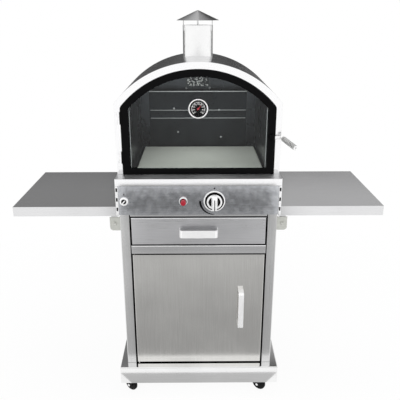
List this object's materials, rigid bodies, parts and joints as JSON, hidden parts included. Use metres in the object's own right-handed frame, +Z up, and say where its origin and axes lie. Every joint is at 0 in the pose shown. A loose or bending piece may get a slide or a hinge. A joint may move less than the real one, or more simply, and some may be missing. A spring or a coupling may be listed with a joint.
{
  "type": "gas pizza oven trolley",
  "caption": "Stainless gas pizza oven with an arched glass door and a chimney, on a cabinet trolley with a drawer, a door and folding side shelves.",
  "frame": {"origin": "on the floor under the middle of the trolley, caster wheels at z 0", "axes": "+Z up, the front faces -Y, +X to the right as seen from the front"},
  "size_m": [1.3626, 0.57, 1.5305],
  "materials": {
    "brushed_stainless": "brushed stainless sheet",
    "bright_stainless": "polished stainless steel",
    "oven_steel": "dull sheet steel of the oven's inside",
    "black_enamel": "gloss black enamel",
    "oven_glass": "clear heat-proof glass",
    "lamp_glass": "frosted lamp glass",
    "baking_stone": "matte fired stone",
    "black_nylon": "matte black plastic",
    "button_red": "gloss red plastic",
    "needle_red": "red paint",
    "brass": "plain brass",
    "lug_steel": "zinc-plated sheet steel"
  },
  "bodies": {
    "trolley": {"base_tray": "brushed_stainless", "cabinet_side_left": "brushed_stainless", "cabinet_side_right": "brushed_stainless", "cabinet_back": "brushed_stainless", "front_post_left": "brushed_stainless", "front_post_right": "brushed_stainless", "top_rail": "brushed_stainless", "middle_rail": "brushed_stainless", "drawer_runner_left": "brushed_stainless", "drawer_runner_right": "brushed_stainless", "console_top": "brushed_stainless", "console_side_left": "brushed_stainless", "console_side_right": "brushed_stainless", "control_panel": "brushed_stainless", "knob_bezel": "bright_stainless", "lamp_switch_collar": "bright_stainless", "igniter_body": "bright_stainless", "gas_valve": "brass", "gas_feed": "brass", "burner_tube": "oven_steel", "hearth_plate": "oven_steel", "pizza_stone": "baking_stone", "cavity_liner": "oven_steel", "hood_shell": "brushed_stainless", "front_surround": "bright_stainless", "rear_baffle": "oven_steel", "lamp_housing": "oven_steel", "lamp_glass": "lamp_glass", "chimney_pipe": "bright_stainless", "chimney_cap": "bright_stainless", "shelf_lug_front_left": "lug_steel", "shelf_lug_front_right": "lug_steel", "shelf_lug_rear_left": "lug_steel", "shelf_lug_rear_right": "lug_steel"},
    "oven_door": {"oven_door_frame": "black_enamel", "oven_door_glass": "oven_glass", "door_hinge_lower": "bright_stainless", "door_hinge_upper": "bright_stainless", "gauge_case": "bright_stainless"},
    "needle": {"gauge_needle": "needle_red"},
    "latch": {"latch_lever": "bright_stainless", "latch_coil": "bright_stainless"},
    "drawer": {"drawer_front": "brushed_stainless", "drawer_box": "brushed_stainless", "drawer_handle": "bright_stainless"},
    "cabinet_door": {"cabinet_door": "brushed_stainless", "cabinet_door_handle": "bright_stainless"},
    "knob": {"knob": "bright_stainless"},
    "igniter": {"igniter_button": "button_red"},
    "lamp_switch": {"lamp_switch": "black_nylon"},
    "shelf_left": {"shelf_left": "brushed_stainless"},
    "shelf_right": {"shelf_right": "brushed_stainless"},
    "fork_front_left": {"caster_fork_front_left": "bright_stainless"},
    "wheel_front_left": {"caster_wheel_front_left": "black_nylon"},
    "fork_front_right": {"caster_fork_front_right": "bright_stainless"},
    "wheel_front_right": {"caster_wheel_front_right": "black_nylon"},
    "fork_rear_left": {"caster_fork_rear_left": "bright_stainless"},
    "wheel_rear_left": {"caster_wheel_rear_left": "black_nylon"},
    "fork_rear_right": {"caster_fork_rear_right": "bright_stainless"},
    "wheel_rear_right": {"caster_wheel_rear_right": "black_nylon"}
  },
  "joints": [
    {"name": "oven_door_hinge", "type": "hinge", "parent": "trolley", "child": "oven_door", "pos_m": [-0.2845, -0.179, 0.9583], "axis": [0, 0, -1], "range_deg": [0, 110]},
    {"name": "latch_lift", "type": "hinge", "parent": "oven_door", "child": "latch", "pos_m": [0.266, -0.178, 1.098], "axis": [0, -1, 0], "range_deg": [0, 60]},
    {"name": "gauge_needle_turn", "type": "hinge", "parent": "oven_door", "child": "needle", "pos_m": [0, -0.172, 1.2007], "axis": [0, 1, 0], "range_deg": [-175, 95], "stiffness_Nm_per_rad": 0.002},
    {"name": "drawer_slide", "type": "slide", "parent": "trolley", "child": "drawer", "axis": [0, -1, 0], "range_m": [0, 0.3]},
    {"name": "cabinet_door_hinge", "type": "hinge", "parent": "trolley", "child": "cabinet_door", "pos_m": [-0.2485, -0.198, 0.1515], "axis": [0, 0, -1], "range_deg": [0, 110]},
    {"name": "knob_turn", "type": "hinge", "parent": "trolley", "child": "knob", "pos_m": [0.058, -0.236, 0.873], "axis": [0, -1, 0], "range_deg": [0, 180]},
    {"name": "igniter_push", "type": "slide", "parent": "trolley", "child": "igniter", "axis": [0, 1, 0], "range_m": [0, 0.008], "stiffness_N_per_m": 500},
    {"name": "lamp_switch_turn", "type": "hinge", "parent": "trolley", "child": "lamp_switch", "pos_m": [-0.2725, -0.236, 0.873], "axis": [0, 1, 0], "range_deg": [0, 90]},
    {"name": "shelf_left_fold", "type": "hinge", "parent": "trolley", "child": "shelf_left", "pos_m": [-0.317, -0.2, 0.771], "axis": [0, -1, 0], "range_deg": [0, 90]},
    {"name": "shelf_right_fold", "type": "hinge", "parent": "trolley", "child": "shelf_right", "pos_m": [0.317, -0.2, 0.771], "axis": [0, 1, 0], "range_deg": [0, 90]},
    {"name": "swivel_front_left", "type": "hinge", "parent": "trolley", "child": "fork_front_left", "pos_m": [-0.272, -0.199, 0.0783], "axis": [0, 0, 1], "continuous": true},
    {"name": "roll_front_left", "type": "hinge", "parent": "fork_front_left", "child": "wheel_front_left", "pos_m": [-0.28797, -0.18696, 0.03], "axis": [-0.6018, -0.7986, 0], "continuous": true},
    {"name": "swivel_front_right", "type": "hinge", "parent": "trolley", "child": "fork_front_right", "pos_m": [0.272, -0.199, 0.0783], "axis": [0, 0, 1], "continuous": true},
    {"name": "roll_front_right", "type": "hinge", "parent": "fork_front_right", "child": "wheel_front_right", "pos_m": [0.25603, -0.18696, 0.03], "axis": [-0.6018, -0.7986, 0], "continuous": true},
    {"name": "swivel_rear_left", "type": "hinge", "parent": "trolley", "child": "fork_rear_left", "pos_m": [-0.272, 0.248, 0.0783], "axis": [0, 0, 1], "continuous": true},
    {"name": "roll_rear_left", "type": "hinge", "parent": "fork_rear_left", "child": "wheel_rear_left", "pos_m": [-0.28797, 0.23596, 0.03], "axis": [0.6018, -0.7986, 0], "continuous": true},
    {"name": "swivel_rear_right", "type": "hinge", "parent": "trolley", "child": "fork_rear_right", "pos_m": [0.272, 0.248, 0.0783], "axis": [0, 0, 1], "continuous": true},
    {"name": "roll_rear_right", "type": "hinge", "parent": "fork_rear_right", "child": "wheel_rear_right", "pos_m": [0.25603, 0.23596, 0.03], "axis": [0.6018, -0.7986, 0], "continuous": true}
  ]
}
